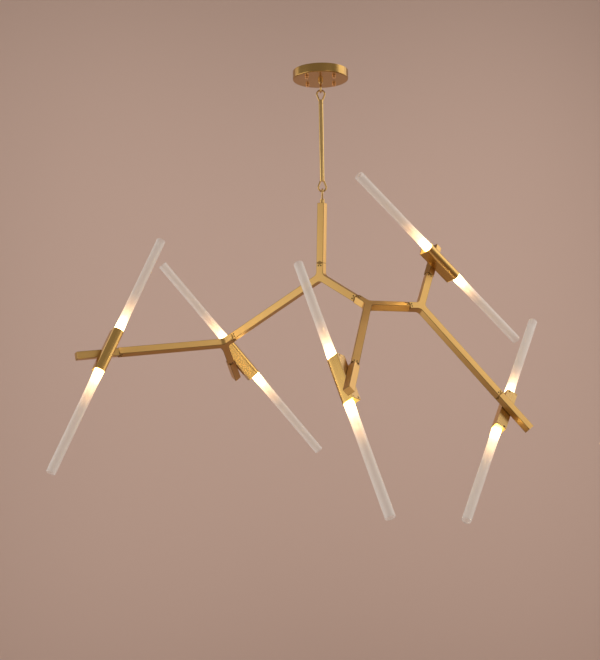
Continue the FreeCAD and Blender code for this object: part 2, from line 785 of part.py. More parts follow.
def make_back_plate(tag, place):
    """The flat cover that closes the wire pocket and carries the swivel bolt."""
    name = f"lamp_{tag}_back_plate"
    blank = box(name + "_blank", "back_plate_thick", "holder_wide", "holder_long",
                x="back_plate_thick / 2", z="-holder_long / 2")
    through = "back_plate_thick + 2"
    tools = [rod(name + "_bolt_hole", "swivel_bolt / 2", through, x="-1", along="X")]
    for k, (y, z) in enumerate(screw_spots()):
        tools.append(rod(f"{name}_screw_{k}", "plate_screw_stem / 2 + thread_gap", through, x="-1",
                         y=y, z=z, along="X"))
        tools.append(rod(f"{name}_sink_{k}", "plate_screw_head / 2 + thread_gap",
                         "plate_screw_head_depth + 1", x="-1", y=y, z=z, along="X"))
    for end, sign, side in (("upper", "", "-"), ("lower", "-", "")):
        tools.append(rod(f"{name}_vent_{end}", "vent_width / 2", through, x="-1",
                         y=f"{side}vent_side", z=f"{sign}(holder_long / 2 - vent_end)", along="X"))
    add_node(name, cut(name + "_solid", blank, *tools), place)


def make_plate_screws(tag, place):
    """Two sunk cheese-head screws hold the back plate on."""
    screws = []
    for k, (y, z) in enumerate(screw_spots()):
        name = f"lamp_{tag}_screw_{k}"
        head = rod(name + "_head", "plate_screw_head / 2", "plate_screw_head_depth", y=y, z=z, along="X")
        stem = rod(name + "_stem", "plate_screw_stem / 2", "plate_screw_long - plate_screw_head_depth",
                   x="plate_screw_head_depth", y=y, z=z, along="X")
        socket = hexagon(name + "_socket", "plate_screw_socket", "plate_screw_socket_depth + 1", x="-1",
                         y=y, z=z, along="X")
        screws.append(cut(name, fuse(name + "_blank", head, stem), socket))
    add_node(f"lamp_{tag}_plate_screws", group(f"lamp_{tag}_screw_set", *screws), place)


def make_swivel(tag, place):
    """The pivot: a bolt from inside the back plate, a washer, and a nut inside the finger."""
    name = f"lamp_{tag}_swivel"
    gap = "swivel_washer + swivel_gap"
    behind = f"{gap} + arm_wall + swivel_gap"
    head = hexagon(name + "_head", "swivel_head_width", "swivel_head_depth", x="back_plate_thick",
                   along="X")
    reach = f"{behind} + swivel_nut_depth"
    stem = rod(name + "_stem", "swivel_bolt / 2", f"{reach} + back_plate_thick", x=f"-({reach})",
               along="X")
    nut = hexagon(name + "_nut", "swivel_nut_width", "swivel_nut_depth", x=f"-({reach})", along="X")
    washer = rod(name + "_washer", "swivel_washer_width / 2", "swivel_washer", x="-swivel_washer",
                 along="X")
    add_node(name, fuse(name + "_solid", head, stem, nut, washer), place)


def make_lampholders(tag, place):
    """Two push-in ceramic lampholders stand on the web at the foot of the glass seats."""
    made = []
    for end, sign in (("upper", 1), ("lower", -1)):
        name = f"lamp_{tag}_{end}_lampholder"
        foot = "holder_long / 2 - glass_seat"
        body = rod(name + "_body", "socket_width / 2", "socket_depth", x="tube_axis_offset", z=foot)
        pins = [rod(f"{name}_pin_{k}", "pin_hole_width / 2", "pin_hole_depth + 1", x="tube_axis_offset",
                    y=f"{k} * pin_pitch / 2", z=f"{foot} + socket_depth - pin_hole_depth")
                for k in (-1, 1)]
        solid = cut(name, body, *pins)
        solid.Placement = end_turn(sign)
        made.append(solid)
    add_node(f"lamp_{tag}_lampholders", group(f"lamp_{tag}_lampholder_set", *made), place)


def end_turn(sign):
    """The lower end repeats the upper one, turned over about the swivel's axis."""
    return turn((1, 0, 0), 0 if sign > 0 else 180)


def make_bulbs(tag, place):
    """Two capsule bulbs: two pins, a flat base and a domed glass body."""
    made = []
    for end, sign in (("upper", 1), ("lower", -1)):
        name = f"lamp_{tag}_{end}_bulb"
        foot = "holder_long / 2 - glass_seat + socket_depth"
        base = rod(name + "_base", "bulb_base_width / 2", "bulb_base_depth", x="tube_axis_offset", z=foot)
        straight = rod(name + "_glass", "bulb_width / 2", "bulb_long - bulb_base_depth - bulb_width / 2",
                       x="tube_axis_offset", z=f"{foot} + bulb_base_depth")
        dome = doc.addObject("Part::Sphere", name + "_dome")
        bind(dome, Radius="bulb_width / 2")
        put(dome, x="tube_axis_offset", z=f"{foot} + bulb_long - bulb_width / 2")
        pins = [rod(f"{name}_pin_{k}", "pin_width / 2", "pin_long + pin_root", x="tube_axis_offset",
                    y=f"{k} * pin_pitch / 2", z=f"{foot} - pin_long") for k in (-1, 1)]
        solid = fuse(name, base, straight, dome, *pins)
        solid.Placement = end_turn(sign)
        made.append(solid)
    add_node(f"lamp_{tag}_bulbs", group(f"lamp_{tag}_bulb_set", *made), place)


def make_glass(tag, place):
    """Two open glass tubes, seated in the holder's bores."""
    made = []
    for end, sign in (("upper", 1), ("lower", -1)):
        name = f"lamp_{tag}_{end}_glass"
        foot = "holder_long / 2 - glass_seat"
        outside = rod(name + "_outside", "glass_width / 2", "glass_showing + glass_seat",
                      x="tube_axis_offset", z=foot)
        inside = rod(name + "_inside", "glass_width / 2 - glass_wall", "glass_showing + glass_seat + 2",
                     x="tube_axis_offset", z=f"{foot} - 1")
        solid = cut(name, outside, inside)
        solid.Placement = end_turn(sign)
        made.append(solid)
    add_node(f"lamp_{tag}_glass_tubes", group(f"lamp_{tag}_glass_set", *made), place)


def lamp_place(finger, turned):
    """A lamp's frame: on the finger's face at the pivot, turned about the swivel's axis."""
    off = size("arm_width / 2 + swivel_washer + swivel_gap")
    return finger * shift(x=off, z=size("finger_pivot")) * turn((1, 0, 0), size(turned))


# ---- the whole chandelier --------------------------------------------------------------------


def make_tree(drop_top):
    """Forks, fingers and joiners along the tree. Returns each finger's frame by its number."""
    turned = turn((0, 0, 1), -size("top_fork_turn"))
    seam = shift(z=drop_top - size("drop_long")) * turned
    drop_tube(seam)
    top = seam * shift(z=-size("fork_stub"))
    right = child_fork(top, ARM_ANGLE, "fork_short", "right_fork_twist")
    far = child_fork(right, ARM_ANGLE, "fork_short", "far_fork_twist")
    left = child_fork(top, -ARM_ANGLE, "fork_long", "left_fork_twist")
    forks = {"fork_top": top, "fork_right": right, "fork_far": far, "fork_left": left}
    for name, place in forks.items():
        make_fork(name, place)
    free_arms = (
        ("one", left, -ARM_ANGLE, "fork_long"),
        ("two", left, ARM_ANGLE, "fork_short"),
        ("three", right, -ARM_ANGLE, "fork_long"),
        ("four", far, ARM_ANGLE, "fork_short"),
        ("five", far, -ARM_ANGLE, "fork_long"),
    )
    fingers = {}
    seams = [seam]
    seams.append(top * arm_end(ARM_ANGLE, size("fork_short")))
    seams.append(right * arm_end(ARM_ANGLE, size("fork_short")))
    seams.append(top * arm_end(-ARM_ANGLE, size("fork_long")))
    grubs = []
    for tag, fork, angle, length in free_arms:
        end = fork * arm_end(angle, size(length))
        place = end * turn((0, 0, 1), size(f"finger_{tag}_twist"))
        make_finger(f"finger_{tag}", place)
        fingers[tag] = place
        seams.append(end)
    for place in forks.values():
        for arm, angle, length in ARMS:
            for spot in grub_spots():
                screw = grub_screw()
                screw.Placement = place * arm_end(angle, size(length)) * spot
                grubs.append(screw)
    joiners = []
    for place in seams:
        joiner = make_spigot()
        joiner.Placement = place
        joiners.append(joiner)
    add_node("seam_spigots", fixed_shape("spigot_set", Part.makeCompound(joiners)))
    add_node("seam_grub_screws", fixed_shape("grub_set", Part.makeCompound(grubs)))
    return fingers


# Densities in grams per cubic millimetre, by a word in the node's name. All the rest is brass.
DENSITY = {"glass": 0.0025, "bulbs": 0.0025, "lampholders": 0.0011, "grub": 0.00785, "swivel": 0.00785}
BRASS_DENSITY = 0.0085


def weight_of(node):
    """The node's density."""
    return next((density for word, density in DENSITY.items() if word in node.Label), BRASS_DENSITY)


def hang_plumb(pivot, hung):
    """Turn all that hangs from the tilt rings as one, until its weight lies under their contact."""
    total = 0.0
    moment = Vector()
    for node in hung:
        for solid in node.Shape.Solids:
            weight = weight_of(node) * solid.Volume
            total += weight
            moment += solid.CenterOfMass * weight
    arm = moment / total - pivot
    lean = Placement(Vector(), Rotation(arm, Vector(0, 0, -1)))
    move = Placement(pivot, Rotation()) * lean * Placement(-pivot, Rotation())
    for node in hung:
        node.Placement = move * node.Placement
    print("branch hangs", round(math.degrees(lean.Rotation.Angle), 3), "degrees off its drawn pose about",
          [round(v, 5) for v in lean.Rotation.Axis])
    return move


def make_lamp(tag, place):
    make_holder(tag, place)
    make_back_plate(tag, place)
    make_plate_screws(tag, place)
    make_swivel(tag, place)
    make_lampholders(tag, place)
    make_bulbs(tag, place)
    make_glass(tag, place)


def make_chandelier():
    make_canopy()
    make_mount_plate()
    make_studs_and_caps()
    make_suspension_ring()
    make_terminal_block()
    make_earth_screw()
    heights = stem_heights()
    make_rod(heights)
    fixed = len(nodes)
    drop_eye = make_eye("drop_eye_blank", square_plug("drop_plug"))
    add_node("drop_eye", drop_eye, shift(z=heights["drop_collar"]) * turn((0, 0, 1), 90))
    fingers = make_tree(heights["drop_top"])
    for tag, finger in fingers.items():
        make_lamp(tag, lamp_place(finger, f"lamp_{tag}_turn"))
    doc.recompute()
    move = hang_plumb(Vector(0, 0, heights["tilt_pivot"]), nodes[fixed:])
    return heights, {tag: move * finger for tag, finger in fingers.items()}


def check_and_write():
    """Stop on any failed object or empty shape, then write one STEP file for each node."""
    doc.recompute()
    for thing in doc.Objects:
        if "Invalid" in thing.State or "Error" in thing.State:
            raise RuntimeError(f"{thing.Label} failed: {thing.State}")
    for thing in nodes:
        if thing.Shape.isNull() or not thing.Shape.isValid() or not thing.Shape.Solids:
            raise RuntimeError(f"{thing.Label} has no valid solid")
    os.makedirs("parts", exist_ok=True)
    for thing in nodes:
        thing.Shape.exportStep(f"parts/{thing.Label}.step")
    print(len(nodes), "nodes,", sum(len(thing.Shape.Solids) for thing in nodes), "solids")


def report_places(heights, fingers):
    """Print the joint places that the record repeats."""
    print("swing pivot", round(heights["swing_pivot"], 3), "tilt pivot", round(heights["tilt_pivot"], 3))
    for tag, finger in fingers.items():
        place = lamp_place(finger, f"lamp_{tag}_turn")
        out = place.Rotation.multVec(Vector(1, 0, 0))
        print("lamp", tag, [round(v, 4) for v in place.Base], [round(v, 6) for v in out])


stem, tips = make_chandelier()
check_and_write()
report_places(stem, tips)
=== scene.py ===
import json
import math

import bmesh
import bpy
import numpy as np
from mathutils import Matrix, Vector


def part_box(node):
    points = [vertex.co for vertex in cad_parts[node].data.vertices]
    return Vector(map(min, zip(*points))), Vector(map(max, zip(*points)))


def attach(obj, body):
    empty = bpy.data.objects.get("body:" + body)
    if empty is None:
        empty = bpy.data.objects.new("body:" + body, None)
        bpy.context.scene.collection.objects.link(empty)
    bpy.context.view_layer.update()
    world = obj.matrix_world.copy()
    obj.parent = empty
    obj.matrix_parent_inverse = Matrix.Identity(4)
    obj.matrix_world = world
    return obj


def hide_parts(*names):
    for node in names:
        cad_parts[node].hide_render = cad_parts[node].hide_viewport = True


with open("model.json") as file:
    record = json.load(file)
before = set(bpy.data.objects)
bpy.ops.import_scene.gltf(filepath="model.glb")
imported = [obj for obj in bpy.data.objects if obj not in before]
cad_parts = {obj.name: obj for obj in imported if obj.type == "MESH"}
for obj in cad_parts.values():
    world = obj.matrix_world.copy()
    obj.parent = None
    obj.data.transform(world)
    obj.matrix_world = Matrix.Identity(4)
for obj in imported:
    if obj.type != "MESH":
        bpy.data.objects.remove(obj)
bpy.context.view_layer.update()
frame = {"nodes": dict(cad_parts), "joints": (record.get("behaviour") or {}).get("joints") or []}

# A branch chandelier: satin brass square tubes that fork below a ring-hung rod, with five lamps,
# each a D-shaped brass holder with a long open frosted glass tube at either end.
# Metres, +Z up, origin at the canopy's ceiling face.

TAGS = ("one", "two", "three", "four", "five")
JOINT_AT = {joint["name"]: np.array(joint["pos_m"]) for joint in frame["joints"]}


# ---- shader maths ----------------------------------------------------------------------------


class Wire:
    """A socket that takes part in Python arithmetic. Each operator adds one Math node."""

    def __init__(self, paint, socket):
        self.paint = paint
        self.socket = socket

    def _math(self, operation, *values):
        """A Math node on this value and others."""
        return self.paint.node("ShaderNodeMath", {"operation": operation}, *values)

    def __add__(self, other):
        return self._math("ADD", self, other)

    def __radd__(self, other):
        return self._math("ADD", other, self)

    def __sub__(self, other):
        return self._math("SUBTRACT", self, other)

    def __rsub__(self, other):
        return self._math("SUBTRACT", other, self)

    def __mul__(self, other):
        return self._math("MULTIPLY", self, other)

    def __rmul__(self, other):
        return self._math("MULTIPLY", other, self)

    def size(self):
        """The value without its sign."""
        return self._math("ABSOLUTE", self)

    def clamped(self):
        """The value held between 0 and 1."""
        return self._math("MINIMUM", self._math("MAXIMUM", self, 0.0), 1.0)


class Paint:
    """One material and the nodes that feed its Principled shader."""

    def __init__(self, name, **constants):
        self.material = bpy.data.materials.new(name)
        self.material.use_nodes = True
        self.tree = self.material.node_tree
        self.shader = self.tree.nodes["Principled BSDF"]
        for socket, value in constants.items():
            self.shader.inputs[socket.replace("_", " ")].default_value = value

    def node(self, kind, settings=None, *values, out=0, **named):
        """A node of one kind. Its settings come first, then its inputs by place or by name."""
        made = self.tree.nodes.new(kind)
        for key, value in (settings or {}).items():
            if key == "stops":
                self._set_stops(made.color_ramp, value)
            else:
                setattr(made, key, value)
        for place, value in enumerate(values):
            self._feed(made.inputs[place], value)
        for key, value in named.items():
            self._feed(made.inputs[key.replace("_", " ")], value)
        return Wire(self, made.outputs[out])

    def _feed(self, socket, value):
        """Link a wire to a socket, or set the socket's own value."""
        if isinstance(value, Wire):
            self.tree.links.new(value.socket, socket)
        elif value is not None:
            socket.default_value = value

    def _set_stops(self, ramp, stops):
        """Colour stops as (position, colour) pairs."""
        while len(ramp.elements) < len(stops):
            ramp.elements.new(0.5)
        for element, (position, colour) in zip(ramp.elements, stops):
            element.position = position
            element.color = (*colour, 1.0)

    def feed(self, **wires):
        """Link values to the Principled shader by socket name."""
        for socket, value in wires.items():
            self._feed(self.shader.inputs[socket.replace("_", " ")], value)

    def place(self, source="UV"):
        """Where a point is: on its own surface, or in the chandelier for Object."""
        return self.node("ShaderNodeTexCoord", out=source)

    def part(self, place, axis):
        """One number of a place: X, Y or Z."""
        return self.node("ShaderNodeSeparateXYZ", None, place, out=axis)

    def noise(self, place, scale=1.0, detail=2.0, roughness=0.5):
        """Noise from 0 to 1."""
        return self.node("ShaderNodeTexNoise", None, place, Scale=scale, Detail=detail,
                         Roughness=roughness)

    def ramp(self, stops, share):
        """A colour from stops, by a share from 0 to 1."""
        return self.node("ShaderNodeValToRGB", {"stops": stops}, share)

    def blend(self, share, first, second):
        """Colour between two others. The Mix node takes colours at its inputs 6 and 7."""
        mix = self.node("ShaderNodeMix", {"data_type": "RGBA"}, share, out=2)
        made = mix.socket.node
        self._feed(made.inputs[6], first)
        self._feed(made.inputs[7], second)
        return mix

    def relief(self, height, distance, strength):
        """A bump from a height."""
        self.feed(Normal=self.node("ShaderNodeBump", None, Strength=strength, Distance=distance,
                                   Height=height))


# ---- stage, light and camera -----------------------------------------------------------------

CAMERA_PLACE = (-0.07239, -2.91308, -0.93361)
CAMERA_HEADING = -0.116
CAMERA_PITCH = 4.374
CAMERA_ROLL = -0.855
CAMERA_SEES_TO = 60.0
FOCUS_PIXELS = 1084.5
IMAGE_WIDTH = 600
SENSOR_WIDTH = 36.0
FLOOR_HEIGHT = -4.0
BACKDROP_AWAY = 3.2
BACKDROP_HALF = 9.0
BACKDROP_TOP = 9.0
COVE_RADIUS = 1.2
PALE = (0.60, 0.435, 0.365, 1.0)
STUDIO_TINT = (1.0, 0.91, 0.82, 1.0)
STUDIO_STRENGTH = 0.30
TREE_MIDDLE = (0.0, 0.0, -0.7)

# Each soft box: its name, its place, what it faces, its width, its watts and its colour.
SOFT_BOXES = (
    ("key", (2.75, 0.75, -0.15), TREE_MIDDLE, 2.8, 27.0, (1.0, 0.98, 0.94)),
    ("high_key", (1.6, 0.05, 1.4), TREE_MIDDLE, 2.0, 10.0, (1.0, 0.97, 0.92)),
    ("fill", (-2.8, -0.45, -1.1), TREE_MIDDLE, 3.2, 31.0, (1.0, 1.0, 0.99)),
    ("left_high", (-2.6, 1.3, 0.3), (0.0, 0.0, -0.3), 1.4, 5.0, (1.0, 0.97, 0.93)),
    ("front", (1.9, -3.0, -0.3), TREE_MIDDLE, 1.6, 9.0, (1.0, 0.95, 0.88)),
    ("low_fill", (0.0, -0.9, -3.2), TREE_MIDDLE, 2.0, 6.0, (1.0, 0.97, 0.93)),
)

# The backdrop's washes, a pair either side: name, height, the height they face, and their spread.
WASHES = (("upper_wash", 1.5, 0.1, 90.0), ("lower_wash", -2.7, -0.8, 100.0))
WASH_SIDE = 1.5
WASH_FORWARD = 0.9
WASH_WIDTH = 2.4
WASH_WATTS = 6.0
WASH_COLOUR = (1.0, 0.96, 0.94)


def look(pitch, heading, roll):
    """The turn of a camera that starts level along +Y."""
    level = Matrix.Rotation(math.radians(90), 4, "X")
    raised = Matrix.Rotation(math.radians(pitch), 4, "X")
    headed = Matrix.Rotation(math.radians(heading), 4, "Z")
    tipped = Matrix.Rotation(math.radians(roll), 4, "Z")
    return headed @ raised @ level @ tipped


def add_camera():
    """The photograph's viewpoint, solved from the tree's own corners."""
    camera = bpy.data.cameras.new("camera")
    camera.sensor_width = SENSOR_WIDTH
    camera.sensor_fit = "HORIZONTAL"
    camera.lens = FOCUS_PIXELS / IMAGE_WIDTH * SENSOR_WIDTH
    camera.clip_end = CAMERA_SEES_TO
    placed = bpy.data.objects.new("camera", camera)
    facing = look(CAMERA_PITCH, CAMERA_HEADING, CAMERA_ROLL)
    placed.matrix_world = Matrix.Translation(CAMERA_PLACE) @ facing
    bpy.context.scene.collection.objects.link(placed)
    bpy.context.scene.camera = placed


def add_light(name, place, target, size, power, colour, spread=180.0):
    """A square soft box that faces a point. Its spread is how wide its grid lets the light out."""
    lamp = bpy.data.lights.new(name, "AREA")
    lamp.shape = "SQUARE"
    lamp.size = size
    lamp.energy = power
    lamp.color = colour
    lamp.spread = math.radians(spread)
    placed = bpy.data.objects.new(name, lamp)
    placed.location = place
    facing = Vector(target) - Vector(place)
    placed.rotation_euler = facing.to_track_quat("-Z", "Y").to_euler()
    bpy.context.scene.collection.objects.link(placed)


def grid_faces(rows, columns, first=0):
    """Four-cornered faces between the neighbours of a grid whose points are numbered row by row."""
    index = first + np.arange(rows * columns).reshape(rows, columns)
    corners = (index[:-1, :-1], index[1:, :-1], index[1:, 1:], index[:-1, 1:])
    return np.stack(corners, axis=-1).reshape(-1, 4)


def smooth(mesh):
    """Shade every face smooth."""
    mesh.polygons.foreach_set("use_smooth", np.full(len(mesh.polygons), True))


def add_stage():
    """A floor that runs up into a backdrop: flat, then a quarter circle, then upright."""
    flat = np.linspace(-BACKDROP_HALF, BACKDROP_AWAY - COVE_RADIUS, 8)
    cove = np.linspace(0.0, math.pi / 2, 17)[1:]
    rise = np.linspace(FLOOR_HEIGHT + COVE_RADIUS, BACKDROP_TOP, 6)[1:]
    y = np.concatenate((flat, BACKDROP_AWAY - COVE_RADIUS + COVE_RADIUS * np.sin(cove),
                        np.full(len(rise), BACKDROP_AWAY)))
    z = np.concatenate((np.full(len(flat), FLOOR_HEIGHT),
                        FLOOR_HEIGHT + COVE_RADIUS - COVE_RADIUS * np.cos(cove), rise))
    x = np.linspace(-BACKDROP_HALF, BACKDROP_HALF, 5)
    shape = (len(y), len(x))
    points = np.stack((np.broadcast_to(x, shape), np.broadcast_to(y[:, None], shape),
                       np.broadcast_to(z[:, None], shape)), axis=-1)
    mesh = bpy.data.meshes.new("floor")
    mesh.from_pydata(points.reshape(-1, 3).tolist(), [], grid_faces(*shape).tolist())
    smooth(mesh)
    floor = bpy.data.objects.new("floor", mesh)
    bpy.context.scene.collection.objects.link(floor)
    mesh.materials.append(Paint("plain_paper", Roughness=0.9, Base_Color=PALE).material)


def add_world():
    """The studio's own even light."""
    world = bpy.data.worlds.new("studio")
    world.use_nodes = True
    background = world.node_tree.nodes["Background"]
    background.inputs["Color"].default_value = STUDIO_TINT
    background.inputs["Strength"].default_value = STUDIO_STRENGTH
    bpy.context.scene.world = world


add_camera()
add_stage()
add_world()
for box in SOFT_BOXES:
    add_light(*box)
for side in (-WASH_SIDE, WASH_SIDE):
    for name, height, facing_height, spread in WASHES:
        add_light(name, (side, WASH_FORWARD, height), (side, BACKDROP_AWAY, facing_height),
                  WASH_WIDTH, WASH_WATTS, WASH_COLOUR, spread)
bpy.context.scene.view_settings.view_transform = "Standard"

# ---- sizes -----------------------------------------------------------------------------------
# Metres and degrees. Lengths and widths are the CAD model's own; the turns set the tree's shape.

ARM_WIDTH = 0.020
ARM_EDGE = 0.0008
ARM_LONG = {"stub": 0.0375, "long": 0.318, "short": 0.124}
ARM_ANGLE = {"stub": 0, "long": -120, "short": 120}
CROTCH_ROUND = 0.014
HALF_CROTCH = math.radians(60)
DROP_LONG = 0.164
DROP_BELOW_TILT = 0.0327
FINGER_LONG = 0.117
FINGER_PIVOT = 0.038
SWIVEL_REACH = 0.0111
HOLDER_LONG = 0.126
HOLDER_WIDE = 0.030
HOLDER_CORNER = 0.0006
HOLDER_LIP = 0.0005
BACK_PLATE = 0.002
BACK_CLEAR = 0.00002
GLASS_AXIS = 0.025
GLASS_WIDTH = 0.025
GLASS_WALL = 0.0018
GLASS_SHOWING = 0.300
GLASS_SEAT = 0.040
GLASS_FIT = 0.00015
GLASS_FOOT_ROUND = 0.0003
GLASS_RIM_ROUND = 0.00085
SOCKET_DEPTH = 0.014
BULB_WIDTH = 0.015
BULB_LONG = 0.062
BULB_BASE_DEPTH = 0.009
BULB_BASE_WIDTH = 0.013
GRUB_WIDTH = 0.0035
GRUB_SOCKET = 0.0019
GRUB_FROM_END = 0.0075
GRUB_APART = 0.0076
GRUB_GAP = 0.0001
GRUB_BEVEL = 0.0004
GRUB_RISE = 0.0002
GRUB_RIM = 0.0003
GRUB_RIM_RISE = 0.00008
FACE_CLEAR = 0.00003
CANOPY_WIDTH = 0.152
CANOPY_DEPTH = 0.024
CANOPY_WALL = 0.0015
CANOPY_LIP = 0.003
CANOPY_ROUND = 0.003
CANOPY_LIP_ROUND = 0.0004
CAP_COUNT = 4
CAP_FIRST_ANGLE = 43
CAP_FROM_CENTRE = 0.052
CAP_DEPTH = 0.008
CAP_WIDTH = 0.0086
CAP_DOME_ROUND = 0.0015
CAP_FLANGE_DEPTH = 0.002
CAP_FLANGE_WIDTH = 0.012
ROD_WIDTH = 0.013
ROD_END_ROUND = 0.0005
TOP_TURN = 28.8
FORK_TWIST = {"fork_right": 69, "fork_far": -24, "fork_left": 79.5}
FINGER_TWIST = {"one": -17.5, "two": 156.5, "three": 56.5, "four": -65, "five": 90.5}
LAMP_TURN = {"one": 55.7, "two": -61, "three": -37.5, "four": -88, "five": 66}

# ---- places along the tree -------------------------------------------------------------------
# Each branch's own frame, worked out as the tree is put together: a child starts where its parent's
# arm ends. The frames are 4 by 4 arrays.

CARRIER = {"one": ("fork_left", "long"), "two": ("fork_left", "short"),
           "three": ("fork_right", "long"),
           "four": ("fork_far", "short"), "five": ("fork_far", "long")}


def shift(x=0.0, y=0.0, z=0.0):
    """A frame moved along its own axes."""
    made = np.eye(4)
    made[:3, 3] = (x, y, z)
    return made


def turn(axis, degrees):
    """A frame turned about one of its axes."""
    return np.array(Matrix.Rotation(math.radians(degrees), 4, axis))


def arm_end(angle, length):
    """The frame at an arm's end, with Z pointing out of it."""
    return turn("Y", angle) @ shift(z=length)


def child_fork(parent, arm, twist):
    """A fork on its parent's arm, turned about that arm."""
    reach = ARM_LONG[arm] + ARM_LONG["stub"]
    return parent @ arm_end(ARM_ANGLE[arm], reach) @ turn("Y", 180) @ turn("Z", twist)


def drawn_frames():
    """Every branch's frame before the tree is hung in balance."""
    seam_height = JOINT_AT["branch_tilt"][2] - DROP_BELOW_TILT - DROP_LONG
    top = shift(z=seam_height) @ turn("Z", -TOP_TURN)
    frames = {"drop_tube": top, "fork_top": top @ shift(z=-ARM_LONG["stub"])}
    frames["fork_right"] = child_fork(frames["fork_top"], "short", FORK_TWIST["fork_right"])
    frames["fork_far"] = child_fork(frames["fork_right"], "short", FORK_TWIST["fork_far"])
    frames["fork_left"] = child_fork(frames["fork_top"], "long", FORK_TWIST["fork_left"])
    for tag, (fork, arm) in CARRIER.items():
        seam = frames[fork] @ arm_end(ARM_ANGLE[arm], ARM_LONG[arm])
        finger = seam @ turn("Z", FINGER_TWIST[tag])
        pivot = finger @ shift(x=SWIVEL_REACH, z=FINGER_PIVOT)
        frames["finger_" + tag] = finger
        frames["lamp_" + tag] = pivot @ turn("X", LAMP_TURN[tag])
    return frames


def best_turn(drawn, hung):
    """The rotation that carries one set of points onto another, from their cross products summed."""
    left, sizes, right = np.linalg.svd(hung.T @ drawn)
    flip = np.diag((1.0, 1.0, np.sign(np.linalg.det(left @ right))))
    return left @ flip @ right


def hang(frames):
    """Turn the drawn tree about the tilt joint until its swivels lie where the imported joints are."""
    tilt = JOINT_AT["branch_tilt"]
    drawn = np.array([frames["lamp_" + tag][:3, 3] - tilt for tag in TAGS])
    hung = np.array([JOINT_AT[f"lamp_{tag}_swivel"] - tilt for tag in TAGS])
    lean = np.eye(4)
    lean[:3, :3] = best_turn(drawn, hung)
    move = shift(*tilt) @ lean @ shift(*-tilt)
    return {name: move @ place for name, place in frames.items()}


PLACES = hang(drawn_frames())


# ---- surfaces --------------------------------------------------------------------------------
# A patch is a grid of points with the matching grid of brushing places: the run along the brush
# marks and the run across them, both in metres. Rows and columns that meet are welded, and so are
# poles.

WELD = 2e-6
BRUSH_SHIFT = 0.1
EDGE_POINTS = 5
CROTCH_POINTS = 7
# The columns of an outline's rows, and the heights among them.
POINT, NORMAL, SPINE, RUN, SIDE = slice(0, 2), slice(2, 4), slice(4, 6), 6, 7
POINT_UP, SPINE_UP = 1, 5


def carried(points, place):
    """Local points, any shape that ends in 3, carried to their place in the chandelier."""
    return points @ place[:3, :3].T + place[:3, 3]


def skin(name, patches, body, nodes, finish):
    """One piece from a list of patches: each grid gives faces between its neighbouring points."""
    points, faces, brush, first = [], [], [], 0
    for grid, run in patches:
        points.append(grid.reshape(-1, 3))
        faces.append(grid_faces(*grid.shape[:2], first))
        brush.append(run.reshape(-1, 2))
        first += len(points[-1])
    points, faces, brush = np.vstack(points), np.vstack(faces), np.vstack(brush)
    mesh = bpy.data.meshes.new(name)
    mesh.from_pydata(points.tolist(), [], faces.tolist())
    layer = mesh.uv_layers.new(name="brush")
    layer.data.foreach_set("uv", brush[faces.ravel()].ravel())
    work = bmesh.new()
    work.from_mesh(mesh)
    bmesh.ops.remove_doubles(work, verts=work.verts, dist=WELD)
    bmesh.ops.dissolve_degenerate(work, edges=work.edges, dist=WELD / 2)
    bmesh.ops.recalc_face_normals(work, faces=work.faces)
    work.to_mesh(mesh)
    work.free()
    smooth(mesh)
    mesh.materials.append(finish)
    piece = bpy.data.objects.new(name, mesh)
    bpy.context.scene.collection.objects.link(piece)
    flat_faces = piece.modifiers.new("flat_faces", "WEIGHTED_NORMAL")
    flat_faces.weight = 100
    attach(piece, body)
    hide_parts(*nodes)


def circle(count):
    """Angles once round, the last one the first again."""
    return np.linspace(0.0, 2 * math.pi, count + 1)


def run_along(path):
    """Distance along a path of rows."""
    steps = np.linalg.norm(np.diff(path, axis=0), axis=1)
    return np.concatenate(([0.0], np.cumsum(steps)))


def rounded(corners, radius, count=4):
    """A profile with its inner corners rounded. Each arc touches the two sides at one tangent length
    from the corner, its points spread evenly over the arc's angle. A third number in a corner is its
    own radius."""
    points = [np.array(corners[0][:2], dtype=float)]
    for before, here, after in zip(corners, corners[1:], corners[2:]):
        bend = here[2] if len(here) > 2 else radius
        corner = np.array(here[:2], dtype=float)
        into = np.array(before[:2], dtype=float) - corner
        out = np.array(after[:2], dtype=float) - corner
        into_long, out_long = np.linalg.norm(into), np.linalg.norm(out)
        into, out = into / into_long, out / out_long
        half = 0.5 * math.acos(np.clip(into @ out, -1.0, 1.0))
        tangent = min(bend / math.tan(half), 0.49 * into_long, 0.49 * out_long)
        if bend == 0:
            points.append(corner)
            continue
        bend = tangent * math.tan(half)
        middle = corner + (into + out) / np.linalg.norm(into + out) * (bend / math.sin(half))
        first, last = corner + into * tangent - middle, corner + out * tangent - middle
        sweep = math.pi - 2 * half
        share = np.linspace(0.0, 1.0, count + 1)[:, None]
        arc = (first * np.sin((1 - share) * sweep) + last * np.sin(share * sweep)) / math.sin(sweep)
        points.extend(middle + arc)
    points.append(np.array(corners[-1][:2], dtype=float))
    return np.array(points)


def turned(profile, place, count=64):
    """A turned patch: rows of (radius, height) spun about the place's Z. A point at angle a is
    (r cos a, r sin a, h). The brushing run is the height, and the run across it is the arc."""
    profile = np.asarray(profile, dtype=float)
    around = circle(count)
    grid = np.empty((len(profile), len(around), 3))
    grid[..., 0] = profile[:, :1] * np.cos(around)
    grid[..., 1] = profile[:, :1] * np.sin(around)
    grid[..., 2] = profile[:, 1:]
    run = np.empty((len(profile), len(around), 2))
    run[..., 0] = profile[:, 1:]
    run[..., 1] = around * profile[:, :1].max()
    return carried(grid, place), run


